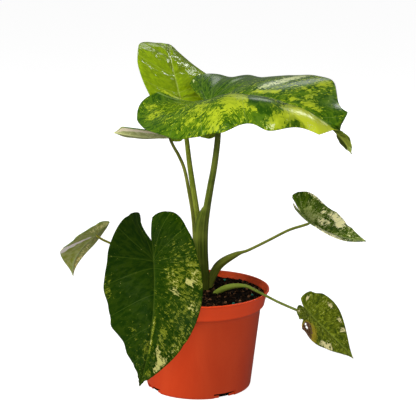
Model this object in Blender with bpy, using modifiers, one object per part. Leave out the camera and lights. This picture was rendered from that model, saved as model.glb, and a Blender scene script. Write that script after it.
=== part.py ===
"""Potted variegated philodendron: a plastic nursery pot filled with soil, seven petioles and seven leaf blades.

Metres, +Z up, +Y away from the viewer of the front. The pot stands on z = 0, centred on the origin.
"""
import math

import bmesh
import bpy
from mathutils import Vector

MM = 0.001

# Fit between neighbouring pieces, and the thickness of a blade
GAP = 0.3
BLADE = 0.8

# Pot: nursery pot of 158 mm across the rim and 112 mm tall, wall about 1.5 mm
POT_STEPS = 48
POT_OUTSIDE = (
    (79.0, 111.2), (78.8, 110.0), (77.9, 107.6), (76.6, 105.6), (75.3, 103.6), (74.9, 100.0), (74.4, 96.6),
    (73.6, 94.0), (72.0, 91.4), (69.6, 88.2), (59.2, 3.0), (58.7, 1.0), (57.8, 0.0),
)
POT_INSIDE = (
    (55.9, 2.4), (57.4, 4.0), (67.9, 88.6), (70.4, 92.0), (72.0, 94.6), (72.9, 97.0), (73.4, 100.4), (73.9, 104.4),
    (75.0, 106.8), (76.2, 109.0), (76.7, 111.4), (77.4, 112.0), (78.6, 112.0),
)
DRAIN_ANGLES = (-60.0, 30.0, 120.0, 210.0)
DRAIN_RECESS = (27.0, 5.5, 56.6)
DRAIN_OPENING = (14.0, 5.0, 50.0)

# Soil: follows the inside of the pot up to 5 mm below the rim and dips a little round the stems
SOIL_SIDE = (
    (74.4, 106.4), (73.5, 104.3), (73.0, 100.4), (72.5, 97.1), (71.6, 94.8), (70.0, 92.2), (67.5, 88.7), (57.0, 4.2),
    (55.6, 2.7),
)
SOIL_TOP = ((12.0, 105.6), (30.0, 106.0), (50.0, 106.6), (66.0, 106.9))
SOIL_CENTRE = 105.5
STEM_DEPTH = 90.0

# Flat outline of one half of a leaf, hub at 0 and tip at 1, from the inner corner of the lobe to the tip
OUTLINE = (
    (-0.36, 0.07), (-0.395, 0.15), (-0.36, 0.25), (-0.26, 0.325), (-0.12, 0.37), (0.04, 0.39), (0.20, 0.395),
    (0.36, 0.375), (0.52, 0.315), (0.68, 0.225), (0.82, 0.125), (0.92, 0.05), (1.0, 0.0),
)


def three(values, t):
    """Smooth value at share t from its settings at the lobes, at a third and at the tip."""
    x = min(max((t + 0.4) / 1.4, 0.0), 1.0)
    a, b, c = values
    return a * (1 - x) * (1 - 2 * x) + 4 * b * x * (1 - x) + c * x * (2 * x - 1)


def along_knots(knots, t):
    """Point at share t of a smooth line through the knots."""
    n = len(knots) - 1
    s = min(max(t * n, 0.0), n - 1e-9)
    i = int(s)
    f = s - i
    four = []
    for j in range(i - 1, i + 3):
        if j < 0:
            four.append([2 * a - b for a, b in zip(knots[0], knots[1])])
        elif j > n:
            four.append([2 * a - b for a, b in zip(knots[n], knots[n - 1])])
        else:
            four.append(knots[j])
    return [
        0.5 * (2 * b + (c - a) * f + (2 * a - 5 * b + 4 * c - d) * f * f + (3 * b - a - 3 * c + d) * f**3)
        for a, b, c, d in zip(*four)
    ]


class Leaf:
    """One blade. Settings in threes hold at the lobes, at a third of the blade and at the tip."""

    def __init__(self, name, colour, hub, length, rows, columns, pitch, head, roll=(0, 0, 0), sweep=(0, 0, 0),
                 widths=((1, 1, 1), (1, 1, 1)), lobes=(1, 1), spread=(0, 0), fold=((0, 0, 0), (0, 0, 0)),
                 curl=((0, 0, 0), (0, 0, 0)), wave_width=0.15, waves=(), drip=None, sinus=(0, 0)):
        self.name = name
        self.colour = colour
        self.hub = Vector(hub)
        self.length = length
        self.rows = rows
        self.columns = columns
        self.pitch = pitch
        self.head = head
        self.roll = roll
        self.sweep = sweep
        self.widths = widths
        self.lobes = lobes
        self.spread = spread
        self.fold = fold
        self.curl = curl
        self.wave_width = wave_width
        self.waves = waves
        self.drip = drip
        self.sinus = sinus
        self.spine = self.make_spine()

    def frame(self, t):
        """Directions at share t of the blade: along the midrib, to its left, and out of the upper face."""
        pitch, head = math.radians(three(self.pitch, t)), math.radians(three(self.head, t))
        roll, sweep = math.radians(three(self.roll, t)), math.radians(three(self.sweep, t))
        along = Vector((math.cos(pitch) * math.cos(head), math.cos(pitch) * math.sin(head), math.sin(pitch)))
        level = Vector((-math.sin(head), math.cos(head), 0.0))
        up = along.cross(level)
        left = level * math.cos(roll) + up * math.sin(roll)
        out = up * math.cos(roll) - level * math.sin(roll)
        return along * math.cos(sweep) + left * math.sin(sweep), left * math.cos(sweep) - along * math.sin(sweep), out

    def make_spine(self):
        """Points of the midrib from share -0.6 to 1, with the hub at share 0."""
        steps = 160
        shares = [-0.6 + 1.6 * i / steps for i in range(steps + 1)]
        ways = [self.frame(t)[0] for t in shares]
        points = [Vector((0.0, 0.0, 0.0))]
        for one, two in zip(ways, ways[1:]):
            points.append(points[-1] + (one + two) * (0.8 / steps * self.length))
        shift = self.hub - points[60]
        return [p + shift for p in points]

    def on_spine(self, t):
        x = min(max((t + 0.6) * 100.0, 0.0), 159.999)
        i = int(x)
        return self.spine[i].lerp(self.spine[i + 1], x - i)

    def wave(self, row, side):
        """How far the margin is widened (a share) and lifted (mm) by the waves of one half."""
        widen, lift = 0.0, 0.0
        for half, crest, more, height in self.waves:
            if half == side:
                near = math.exp(-(((row - crest) / self.wave_width) ** 2))
                widen += more * near
                lift += height * near
        return widen, lift

    def flat(self, row, share, side):
        """Flat place in one half: row -1 at the sinus to 1 at the tip, share 0 at the midrib to 1 at the margin."""
        k = 0 if side > 0 else 1
        p, q = along_knots(OUTLINE, (row + 1) / 2)
        q = q * three(self.widths[k], p) * (1 + self.wave(row, side)[0])
        if self.drip and p > self.drip[0]:
            narrow = min((p - self.drip[0]) / 0.06, 1.0)
            q = q * (1 - narrow) + min(q, self.drip[1] * (1 - p)) * narrow
        q = q + self.spread[k] * max(0.0, -p)
        root = max(0.0, (p - 0.05) / 0.95) ** 1.6
        if p < 0:
            p = p * self.lobes[k]
        inner = max(0.0, (-0.6 - row) / 0.4)
        return (root + (p - root) * share) * self.length, q * share ** (1 + self.sinus[k] * inner) * self.length

    def point(self, row, share, side):
        """Place in space of a point of the blade's middle surface."""
        p, q = self.flat(row, share, side)
        t = p / self.length
        k = 0 if side > 0 else 1
        _, left, out = self.frame(t)
        fold = math.radians(three(self.fold[k], t))
        bend = math.radians(three(self.curl[k], t)) / (0.4 * self.length)
        if abs(bend) < 1e-5:
            bend = 1e-5
        aside = (math.sin(fold + bend * q) - math.sin(fold)) / bend
        rise = (math.cos(fold) - math.cos(fold + bend * q)) / bend
        rise += self.wave(row, side)[1] * share * share
        return self.on_spine(t) + left * (side * aside) + out * rise


# Waves of a margin: half (1 left, -1 right), row of the crest, how much it widens the blade, and its height
LEAVES = (
    Leaf("leaf_top", (0.16, 0.33, 0.03, 1), (14.9, 0.0, 322.4), 188.6, 32, 5, (-12, 3, -63), (-20, -25, -12),
         (8, -5, 28), (-19, -11, -3), ((0.93, 1.28, 1.02), (1.25, 1.09, 1.0)), (0.83, 1.12), (0.26, -0.34),
         ((37, 30, 9), (-17, 25, -3)), ((-38, -24, 11), (-33, -88, -54)), 0.09, (
             (1, -0.43, -0.06, -1.5), (1, -0.29, 0.0, 3.0), (1, 0.0, -0.03, 1.5), (1, 0.43, 0.14, 0.0),
             (1, 0.57, -0.08, -1.5), (1, 0.71, 0.1, 6.5), (-1, -1.0, -0.09, 2.5), (-1, -0.86, 0.0, -2.5),
             (-1, -0.71, 0.03, 1.5), (-1, -0.14, 0.02, -2.0), (-1, 0.0, 0.02, -3.5), (-1, 0.14, 0.06, -0.5),
             (-1, 0.29, 0.0, 2.0), (-1, 0.43, 0.23, 2.0), (-1, 0.57, -0.09, -2.0), (-1, 0.71, 0.05, 2.0)),
         (0.8, 0.25)),
    Leaf("leaf_back", (0.32, 0.42, 0.02, 1), (-21.5, 70.0, 318.5), 110, 20, 4, (85, 48, -12), (100, 101, 101),
         (-2, 4, 14), (16, 4, -17), ((0.81, 0.92, 1.9), (1.28, 1.09, 0.94)), (1.11, 1.28), (0, 0),
         ((1, 12, -8), (-2, -15, -23)), ((2, -5, -4), (-6, -2, -10)), 0.15, (
             (1, -1.0, 0.07, 0), (1, -0.25, -0.05, 0), (1, 0.5, 0.04, 0), (1, 0.75, -0.04, 0), (-1, -1.0, 0.11, 0))),
    Leaf("leaf_top_left", (0.2, 0.25, 0.07, 1), (-31.7, 18.0, 276.1), 64.4, 14, 3, (-8, 4, 13), (169, 171, 165),
         (19, 20, 39), (0, 1, -3), ((1.0, 1.0, 1.56), (1, 1, 1.3)), (0.9, 0.9), (0, 0),
         ((14, 8, 29), (10, 9, 2)), ((0, 0, 0), (0, 0, 0)), 0.15, (
             (1, 0.5, -0.07, 0), (1, 0.75, 0.22, 0), (-1, 0.75, 0.04, 0))),
    Leaf("leaf_front", (0.05, 0.12, 0.02, 1), (-46.1, -108.0, 170.2), 129.4, 22, 4, (-32, -67, -75), (-84, -92, -89),
         (-5, -1, -3), (9, -1, -18), ((0.87, 0.97, 1.14), (0.99, 1.01, 0.93)), (1.13, 0.93), (0, 0),
         ((14, 8, 5), (60, 8, 6)), ((-15, -12, 0), (-15, -12, 0)), 0.15, (
             (1, -1.0, -0.28, 0), (1, -0.75, 0.14, 0), (1, 0.0, 0.02, 0), (-1, -1.0, 0.36, 0), (-1, -0.75, -0.13, 0),
             (-1, 0.75, -0.06, 0)), None, (0.4, 1.6)),
    Leaf("leaf_left", (0.16, 0.19, 0.06, 1), (-112.1, -25.0, 179.1), 66.2, 14, 3, (-33, -33, -73), (191, 185, 188),
         (43, 31, 61), (-17, -30, -26), ((0.99, 1.34, 0.41), (0.91, 0.99, 0.7)), (0.91, 0.56), (0, 0),
         ((-2, 0, 20), (40, 10, 13)), ((0, 0, 0), (0, 0, 0)), 0.15, (
             (1, -0.25, 0.05, 0), (1, 0.0, -0.07, 0), (1, 0.25, 0.06, 0), (1, 0.75, -0.05, 0), (-1, 0.25, 0.07, 0),
             (-1, 0.75, -0.05, 0))),
    Leaf("leaf_right", (0.1, 0.2, 0.04, 1), (121.3, -22.0, 192.3), 67.9, 14, 3, (-29, -13, -5), (-6, -4, -6),
         (25, 12, 14), (-38, -23, 2), ((1.25, 1.21, 1.24), (1.02, 0.99, 0.75)), (1.56, 0.89), (0, 0),
         ((31, 20, 23), (57, 32, -6)), ((0, 0, 0), (-15, -15, 0)), 0.15, (
             (1, -0.75, -0.06, 0), (1, -0.5, 0.05, 0), (1, 0.5, -0.06, 0), (-1, 0.0, -0.06, 0), (-1, 0.5, 0.06, 0),
             (-1, 0.75, -0.06, 0))),
    Leaf("leaf_low_right", (0.09, 0.15, 0.03, 1), (121.6, -62.0, 99.0), 67.0, 14, 3, (-50, -54, -51), (-47, -48, -47),
         (-5, 3, 0), (11, 29, 18), ((1.01, 1.24, 0.71), (0.85, 1.0, 0.92)), (0.83, 0.61), (0, 0),
         ((22, 14, -3), (23, 9, 1)), ((-10, -10, 0), (-10, -10, 0)), 0.15, (
             (1, -1.0, -0.08, 0), (1, -0.75, 0.13, 0), (1, -0.5, -0.07, 0), (-1, -1.0, -0.09, 0), (-1, -0.5, 0.05, 0),
             (-1, 0.75, 0.06, 0))),
)

# Petioles: points of the middle line from the soil to below the hub, with the radius at each
PETIOLES = {
    "leaf_top": ("petiole_top", (0.09, 0.12, 0.02, 1), (
        (7.6, 19.0, 105.0, 4.0), (6.9, 18.0, 126.5, 4.2), (5.7, 16.0, 151.6, 4.2), (6.2, 14.0, 177.7, 4.1),
        (9.2, 12.0, 201.2, 3.7), (13.2, 9.0, 225.3, 3.2), (18.0, 6.0, 252.0, 2.9), (21.7, 3.0, 284.3, 2.8),
        (20.5, 1.0, 305.0, 2.6))),
    "leaf_back": ("petiole_back", (0.16, 0.24, 0.03, 1), (
        (3.0, 31.0, 105.0, 3.5), (3.6, 33.0, 133.2, 3.7), (1.6, 37.0, 160.6, 3.7), (-3.0, 43.0, 191.6, 3.6),
        (-6.7, 50.0, 217.3, 3.2), (-10.5, 58.0, 242.8, 2.8), (-14.2, 68.0, 271.6, 2.4), (-18.4, 77.0, 298.1, 2.3))),
    "leaf_top_left": ("petiole_top_left", (0.15, 0.19, 0.02, 1), (
        (-5.0, 34.0, 105.0, 2.2), (-3.9, 34.0, 133.0, 2.2), (-4.4, 32.5, 161.6, 2.0), (-6.0, 31.0, 188.9, 1.9),
        (-9.7, 28.0, 215.0, 1.8), (-14.5, 25.0, 242.1, 1.7), (-20.9, 22.0, 258.6, 1.6), (-26.4, 20.0, 268.5, 1.6))),
    "leaf_front": ("petiole_front", (0.2, 0.26, 0.04, 1), (
        (-3.0, 10.0, 105.0, 3.0), (-3.1, 9.0, 116.0, 3.0), (-3.8, 3.0, 142.0, 2.8), (-8.0, -10.0, 172.0, 2.5),
        (-19.0, -34.0, 194.0, 2.2), (-33.0, -61.0, 197.0, 2.0), (-42.0, -82.0, 190.0, 1.9), (-45.5, -97.0, 178.5, 1.8))),
    "leaf_left": ("petiole_left", (0.15, 0.19, 0.05, 1), (
        (-9.0, 22.0, 105.0, 2.2), (-9.4, 21.6, 115.0, 2.2), (-23.6, 15.0, 138.5, 2.0), (-54.7, 3.0, 150.2, 1.7),
        (-82.0, -9.0, 159.0, 1.4), (-97.3, -18.0, 167.8, 1.3), (-106.0, -22.0, 173.0, 1.3))),
    "leaf_right": ("petiole_right", (0.15, 0.22, 0.03, 1), (
        (16.0, 29.0, 105.0, 3.4), (16.2, 28.0, 116.8, 4.0), (19.6, 25.0, 128.8, 4.4), (28.6, 21.0, 139.2, 4.2),
        (42.1, 15.0, 148.1, 2.8), (48.0, 12.5, 150.8, 1.7), (56.4, 9.0, 154.5, 1.5), (76.7, 0.0, 166.4, 1.5),
        (99.4, -11.0, 180.8, 1.5), (114.0, -18.0, 187.5, 1.5))),
    "leaf_low_right": ("petiole_low_right", (0.16, 0.22, 0.03, 1), (
        (21.7, 3.0, 105.0, 2.9), (23.2, 0.6, 110.5, 3.1), (31.5, -10.0, 116.0, 3.2), (42.2, -20.0, 119.8, 2.6),
        (53.3, -29.0, 121.4, 1.6), (65.0, -37.0, 117.6, 1.4), (75.5, -43.0, 113.6, 1.4), (88.4, -50.0, 108.0, 1.4),
        (105.5, -58.0, 101.5, 1.4), (115.0, -59.5, 99.0, 1.4))),
}
# Sheath of the tallest petiole: heights between which its left side is drawn out, and by how much
SHEATH = (118.0, 196.0, 9.0)


def clear_scene():
    for thing in list(bpy.data.objects):
        bpy.data.objects.remove(thing, do_unlink=True)
    for group in list(bpy.data.collections):
        bpy.data.collections.remove(group)


def new_collection(name):
    group = bpy.data.collections.new(name)
    bpy.context.scene.collection.children.link(group)
    return group


def new_material(name, colour, roughness):
    material = bpy.data.materials.new(name)
    material.use_nodes = True
    shader = material.node_tree.nodes["Principled BSDF"]
    shader.inputs["Base Color"].default_value = colour
    shader.inputs["Roughness"].default_value = roughness
    shader.inputs["Metallic"].default_value = 0.0
    return material


def new_object(name, data, group, material=None):
    thing = bpy.data.objects.new(name, data)
    group.objects.link(thing)
    if material:
        data.materials.append(material)
    return thing


def from_bmesh(name, bm, group, material=None):
    data = bpy.data.meshes.new(name)
    bm.to_mesh(data)
    bm.free()
    return new_object(name, data, group, material)


def turned(name, profile, group, material):
    """Body of revolution from an open profile that starts and ends on the axis, top first down its outer side."""
    bm = bmesh.new()
    corners = [bm.verts.new((r * MM, 0.0, z * MM)) for r, z in profile]
    for one, two in zip(corners, corners[1:]):
        bm.edges.new((one, two))
    thing = from_bmesh(name, bm, group, material)
    screw = thing.modifiers.new("Screw", "SCREW")
    screw.axis = "Z"
    screw.steps = POT_STEPS
    screw.render_steps = POT_STEPS
    screw.use_merge_vertices = True
    screw.merge_threshold = 0.00001
    screw.use_smooth_shade = False
    return thing


def cut(thing, cutter):
    boolean = thing.modifiers.new("Cut", "BOOLEAN")
    boolean.operation = "DIFFERENCE"
    boolean.solver = "EXACT"
    boolean.object = cutter


def make_pot(group, cutters):
    plastic = new_material("terracotta_plastic", (0.62, 0.075, 0.018, 1), 0.4)
    profile = ((0.0, 2.4),) + POT_INSIDE + POT_OUTSIDE + ((0.0, 0.0),)
    pot = turned("pot", profile, group, plastic)
    for angle in DRAIN_ANGLES:
        for width, height, inner in (DRAIN_RECESS, DRAIN_OPENING):
            bm = bmesh.new()
            bmesh.ops.create_cube(bm, size=1.0)
            bmesh.ops.scale(bm, vec=(20.0 * MM, width * MM, (height + 3.0) * MM), verts=bm.verts)
            bmesh.ops.translate(bm, vec=((inner + 10.0) * MM, 0.0, (height - 3.0) / 2 * MM), verts=bm.verts)
            box = from_bmesh("drain_cutter", bm, cutters)
            box.rotation_euler = (0.0, 0.0, math.radians(angle))
            cut(pot, box)
    return pot


def make_soil(group, cutters):
    earth = new_material("potting_soil", (0.028, 0.017, 0.011, 1), 0.95)
    profile = ((0.0, SOIL_CENTRE),) + SOIL_TOP + SOIL_SIDE + ((0.0, 2.7),)
    soil = turned("soil", profile, group, earth)
    for _, _, path in PETIOLES.values():
        x, y, _, radius = path[0]
        bm = bmesh.new()
        bmesh.ops.create_cone(
            bm, cap_ends=True, segments=16, radius1=(radius + GAP) * MM, radius2=(radius + GAP) * MM, depth=40 * MM)
        bmesh.ops.translate(bm, vec=(x * MM, y * MM, (STEM_DEPTH + 20.0) * MM), verts=bm.verts)
        cut(soil, from_bmesh("stem_hole_cutter", bm, cutters))
    return soil


def make_petiole(leaf, group):
    name, colour, path = PETIOLES[leaf.name]
    _, _, out = leaf.frame(0.0)
    tip_radius = path[-1][3]
    lean = out.angle(leaf.hub - Vector(path[-1][:3]))
    end = leaf.hub - out * (BLADE / 2 + GAP + tip_radius * math.sin(lean))
    x, y, _, base_radius = path[0]
    knots = [(x, y, STEM_DEPTH + GAP, base_radius), (x, y, 98.0, base_radius)]
    knots += list(path)
    knots.append((*end, tip_radius))
    curve = bpy.data.curves.new(name, "CURVE")
    curve.dimensions = "3D"
    curve.bevel_depth = MM
    curve.bevel_resolution = 2
    curve.use_fill_caps = True
    line = curve.splines.new("POLY")
    count = 2 * (len(knots) - 1) + 1
    line.points.add(count - 1)
    for i in range(count):
        x, y, z, radius = along_knots(knots, i / (count - 1))
        line.points[i].co = (x * MM, y * MM, z * MM, 1.0)
        line.points[i].radius = radius
    draft = new_object(name + "_line", curve, group)
    view = bpy.context.evaluated_depsgraph_get()
    data = bpy.data.meshes.new_from_object(draft.evaluated_get(view))
    bpy.data.objects.remove(draft)
    bm = bmesh.new()
    bm.from_mesh(data)
    bpy.data.meshes.remove(data)
    bmesh.ops.remove_doubles(bm, verts=bm.verts, dist=0.00001)
    if leaf.name == "leaf_top":
        draw_out_sheath(bm, path)
    bmesh.ops.recalc_face_normals(bm, faces=bm.faces)
    return from_bmesh(name, bm, group, new_material(name, colour, 0.45))


def draw_out_sheath(bm, path):
    """Pull the left side of the petiole out into the thin wing that clasps the stem behind it."""
    low, high, reach = SHEATH
    for v in bm.verts:
        z = v.co.z / MM
        if low < z < high:
            i = max(k for k in range(len(path) - 1) if path[k][2] <= z)
            f = (z - path[i][2]) / (path[i + 1][2] - path[i][2])
            middle = path[i][0] + (path[i + 1][0] - path[i][0]) * f
            aside = middle - v.co.x / MM
            if aside > 1.0:
                swell = math.sin(math.pi * ((z - low) / (high - low)) ** 1.3)
                v.co.x -= (aside - 1.0) / 3.0 * reach * swell * MM


def make_blade(leaf, group):
    bm = bmesh.new()
    bmesh.ops.create_grid(bm, x_segments=2 * leaf.columns, y_segments=leaf.rows, size=1.0)
    for v in bm.verts:
        side = 1 if v.co.x >= 0 else -1
        share, row = abs(v.co.x), v.co.y
        v.co = leaf.point(row, share, side) * MM
    bmesh.ops.remove_doubles(bm, verts=bm.verts, dist=0.00002)
    bmesh.ops.triangulate(bm, faces=bm.faces, quad_method="SHORT_EDGE")
    blade = from_bmesh(leaf.name, bm, group, new_material(leaf.name, leaf.colour, 0.35))
    solidify = blade.modifiers.new("Thickness", "SOLIDIFY")
    solidify.thickness = BLADE * MM
    solidify.offset = 0.0
    return blade


def main():
    clear_scene()
    group = new_collection("potted_philodendron")
    cutters = new_collection("cutters")
    make_pot(group, cutters)
    make_soil(group, cutters)
    for leaf in LEAVES:
        make_petiole(leaf, group)
        make_blade(leaf, group)
    for thing in cutters.objects:
        thing.hide_render = True
        thing.display_type = "WIRE"


main()
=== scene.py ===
import math
from dataclasses import dataclass

import bmesh
import bpy
from mathutils import Matrix, Vector, noise


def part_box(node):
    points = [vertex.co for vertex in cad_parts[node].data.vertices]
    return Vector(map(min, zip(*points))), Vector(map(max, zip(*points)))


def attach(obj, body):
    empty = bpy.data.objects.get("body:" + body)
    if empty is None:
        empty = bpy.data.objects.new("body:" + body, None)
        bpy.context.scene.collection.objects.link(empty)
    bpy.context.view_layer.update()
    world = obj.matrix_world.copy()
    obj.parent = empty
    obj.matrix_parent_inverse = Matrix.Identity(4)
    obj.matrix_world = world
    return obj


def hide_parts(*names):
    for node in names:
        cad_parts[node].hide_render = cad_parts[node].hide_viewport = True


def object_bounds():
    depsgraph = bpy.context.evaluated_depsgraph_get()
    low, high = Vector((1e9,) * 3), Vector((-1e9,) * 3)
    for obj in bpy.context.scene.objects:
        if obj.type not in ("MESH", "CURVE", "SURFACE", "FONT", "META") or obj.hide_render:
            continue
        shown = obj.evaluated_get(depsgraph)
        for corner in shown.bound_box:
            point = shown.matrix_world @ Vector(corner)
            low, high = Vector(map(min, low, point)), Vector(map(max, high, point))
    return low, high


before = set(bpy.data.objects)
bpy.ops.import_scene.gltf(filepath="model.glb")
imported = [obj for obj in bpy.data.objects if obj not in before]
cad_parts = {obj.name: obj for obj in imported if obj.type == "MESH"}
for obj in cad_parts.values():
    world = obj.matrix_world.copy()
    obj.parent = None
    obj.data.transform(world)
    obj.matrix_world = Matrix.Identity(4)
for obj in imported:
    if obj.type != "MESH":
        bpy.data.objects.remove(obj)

# The solids' own box is kept, and the blades keep within it
solid_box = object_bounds()
MM = 0.001


# Nursery pot
# One thin injection-moulded shell of terracotta-coloured polypropylene: a tapered wall, a banded rim that ends in a
# rolled lip, and a foot with four shallow notches, each with a drain opening through the corner.
POT_STEPS = 216
# Radius and height of the rim's outer face, from the lip down to the shoulder, and of its inner face, going up
RIM_OUTSIDE = (
    (79.5, 111.9), (79.6, 111.3), (79.2, 110.6), (78.3, 110), (77.7, 108.9), (77.2, 107), (76.7, 105.3),
    (76.2, 103.7), (75.7, 102.1), (75.2, 100.3), (74.8, 98.5), (74.4, 96.6), (74.1, 95.2), (73.7, 94.3),
    (72.7, 93.3), (71.5, 92.2), (70.7, 91), (70.1, 89.6), (69.7, 88.2))
RIM_INSIDE = (
    (67.9, 88.6), (69.2, 90.4), (70.5, 92.2), (71.9, 94.4), (72.8, 96.6), (73.2, 98.6), (73.4, 100.4), (73.6, 102.6),
    (74, 104.6), (75, 106.9), (75.9, 108.4), (76.4, 109.8), (76.9, 111.2), (77.4, 112), (78.1, 112.4), (78.9, 112.3))
# The rounded edge of the foot, going in, and the corner between the floor and the wall, going out
FOOT_OUTSIDE = ((59.2, 3), (59, 1.9), (58.7, 0.9), (58.3, 0.3), (57.8, 0))
FLOOR_INSIDE = ((55, 2.4), (56, 2.6), (56.9, 3.2), (57.4, 4.2))
# Radius of a ring of points that keeps the faces of the flat floor and foot from getting too long
FLOOR_RING = 30
# Directions of the drains, and half angle, height and innermost radius of each notch and of the opening in it
DRAINS = (-60, 30, 120, 210)
DRAIN_NOTCH = (13.2, 5.5, 56.6)
DRAIN_OPENING = (6.6, 5, 50)
# A cutter starts below the foot and ends past the wall, and its roof dips from the wall on
BELOW_FOOT, PAST_WALL, ROOF_DIP, ROOF_DIP_FROM = -3, 66, 0.5, 61


def along_knots(knots, t):
    """Point at share t of a smooth line through the knots."""
    n = len(knots) - 1
    s = min(max(t * n, 0), n - 1e-9)
    i = int(s)
    f = s - i
    four = []
    for j in range(i - 1, i + 3):
        if j < 0:
            four.append([2 * a - b for a, b in zip(knots[0], knots[1])])
        elif j > n:
            four.append([2 * a - b for a, b in zip(knots[n], knots[n - 1])])
        else:
            four.append(knots[j])
    return [
        0.5 * (2 * b + (c - a) * f + (2 * a - 5 * b + 4 * c - d) * f * f + (3 * b - a - 3 * c + d) * f**3)
        for a, b, c, d in zip(*four)]


def smooth_line(knots, count):
    return [tuple(along_knots(knots, i / (count - 1))) for i in range(count)]


def straight_line(one, two, steps):
    """Points between two ends, without the ends."""
    return [tuple(a + (b - a) * i / steps for a, b in zip(one, two)) for i in range(1, steps)]


def turned(profile, steps):
    """Closed body of revolution from radii and heights that start and end on the axis."""
    bm = bmesh.new()
    corners = [bm.verts.new((r * MM, 0, z * MM)) for r, z in profile]
    for one, two in zip(corners, corners[1:]):
        bm.edges.new((one, two))
    bmesh.ops.spin(
        bm, geom=bm.verts[:] + bm.edges[:], cent=(0, 0, 0), axis=(0, 0, 1), angle=2 * math.pi, steps=steps,
        use_merge=True)
    bmesh.ops.remove_doubles(bm, verts=bm.verts, dist=0.00001)
    bmesh.ops.recalc_face_normals(bm, faces=bm.faces)
    return bm


def turn_about_z(degrees):
    return Matrix.Rotation(math.radians(degrees), 3, "Z")


def swept(section, angle, half, steps):
    """Closed body from a section in radius and height, swept about the axis by half to both sides of an angle."""
    bm = bmesh.new()
    bm.faces.new([bm.verts.new((r * MM, 0, z * MM)) for r, z in section])
    start = bm.verts[:] + bm.edges[:] + bm.faces[:]
    bmesh.ops.rotate(bm, verts=bm.verts[:], cent=(0, 0, 0), matrix=turn_about_z(angle - half))
    bmesh.ops.spin(bm, geom=start, cent=(0, 0, 0), axis=(0, 0, 1), angle=math.radians(2 * half), steps=steps)
    bmesh.ops.contextual_create(bm, geom=[e for e in bm.edges if e.is_boundary])
    bmesh.ops.remove_doubles(bm, verts=bm.verts, dist=0.000001)
    bmesh.ops.recalc_face_normals(bm, faces=bm.faces)
    return bm


def to_mesh(name, bm):
    data = bpy.data.meshes.new(name)
    bm.to_mesh(data)
    bm.free()
    return data


def to_object(name, bm, *materials, smooth=True):
    data = to_mesh(name, bm)
    for material in materials:
        data.materials.append(material)
    if smooth:
        data.shade_smooth()
    thing = bpy.data.objects.new(name, data)
    bpy.context.scene.collection.objects.link(thing)
    return thing


class Nodes:
    """The nodes of one new material, or of the surround, added one by one. A colour is red, green and blue."""

    def __init__(self, name, owner=None):
        self.owner = owner or bpy.data.materials.new(name)
        self.owner.use_nodes = True
        self.tree = self.owner.node_tree

    def put(self, socket, value):
        if isinstance(value, bpy.types.NodeSocket):
            self.tree.links.new(value, socket)
        else:
            socket.default_value = (*value, 1) if socket.type == "RGBA" else value

    def add(self, kind, settings=(), **inputs):
        """A node with its settings and its inputs, whose names have _ for a space."""
        node = self.tree.nodes.new("ShaderNode" + kind)
        for name, value in dict(settings).items():
            setattr(node, name, value)
        for name, value in inputs.items():
            self.put(node.inputs[name.replace("_", " ")], value)
        return node

    def place(self):
        return self.add("TexCoord").outputs["Object"]

    def chart(self, name):
        return self.add("UVMap", {"uv_map": name}).outputs["UV"]

    def mark(self, name):
        """The value kept under a name in the mesh's points."""
        return self.add("Attribute", {"attribute_name": name}).outputs["Fac"]

    def cloud(self, vector, scale, detail=3, rough=0.5, twist=0, stretch=None):
        if stretch:
            vector = self.add("Mapping", Vector=vector, Scale=stretch).outputs["Vector"]
        node = self.add("TexNoise", Vector=vector, Scale=scale, Detail=detail, Roughness=rough, Distortion=twist)
        return node.outputs["Fac"]

    def reckon(self, how, *values):
        node = self.add("Math", {"operation": how})
        for socket, value in zip(node.inputs, values):
            self.put(socket, value)
        return node.outputs[0]

    def plus(self, one, two):
        return self.reckon("ADD", one, two)

    def times(self, one, two):
        return self.reckon("MULTIPLY", one, two)

    def fade(self, value, low, high, start=0, end=1):
        """Eased step from start, where value is low, to end, where it is high."""
        node = self.add(
            "MapRange", {"interpolation_type": "SMOOTHSTEP"}, Value=value, From_Min=low, From_Max=high, To_Min=start,
            To_Max=end)
        return node.outputs["Result"]

    def blend(self, share, one, two):
        node = self.add("Mix", {"data_type": "RGBA"}, Factor=share)
        self.put(node.inputs[6], one)
        self.put(node.inputs[7], two)
        return node.outputs[2]

    def bump(self, height, strength, depth, normal=None):
        under = {"Normal": normal} if normal else {}
        return self.add("Bump", Height=height, Strength=strength, Distance=depth, **under).outputs["Normal"]

    def close(self, colour, rough, normal, gloss=0.5, **glow):
        """Ends the nodes in the material's shader, and gives the material."""
        ends = dict(Base_Color=colour, Roughness=rough, Normal=normal, Specular_IOR_Level=gloss, **glow)
        for name, value in ends.items():
            self.put(self.tree.nodes["Principled BSDF"].inputs[name.replace("_", " ")], value)
        return self.owner


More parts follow.
